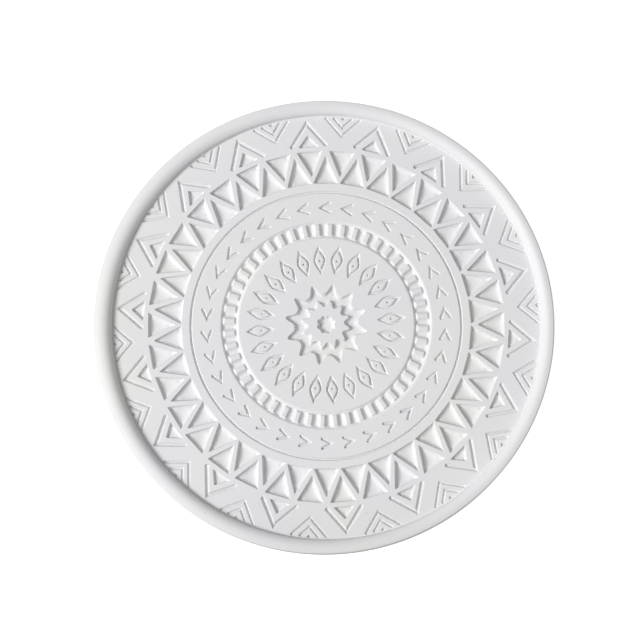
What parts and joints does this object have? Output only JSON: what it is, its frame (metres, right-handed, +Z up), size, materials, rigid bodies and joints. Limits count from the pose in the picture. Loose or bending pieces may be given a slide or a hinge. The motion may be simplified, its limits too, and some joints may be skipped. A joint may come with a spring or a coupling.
{
  "type": "resin casting mould",
  "caption": "Round flat silicone resin mould with a low rounded rim around a floor of engraved mandala rings: chevrons, triangles, arrows, blocks, petals and a centre star.",
  "frame": {"origin": "on the flat underside, at the centre of the round outer wall", "axes": "+Z up, out of the open face that resin is poured into; +X and +Y in the plane of the disc, with the small arrows of the arrow ring pointing counter-clockwise seen from +Z"},
  "size_m": [0.1092, 0.1092, 0.0058],
  "materials": {
    "silicone": "satin white platinum-cure silicone"
  },
  "bodies": {
    "root": {"base_sheet": "silicone", "rim_bead": "silicone", "chevron_band": "silicone", "triangle_band": "silicone", "arrow_band": "silicone", "block_band": "silicone", "raised_blocks": "silicone", "petal_band": "silicone", "petal_islands": "silicone", "star_band": "silicone", "star_island": "silicone"}
  },
  "joints": []
}
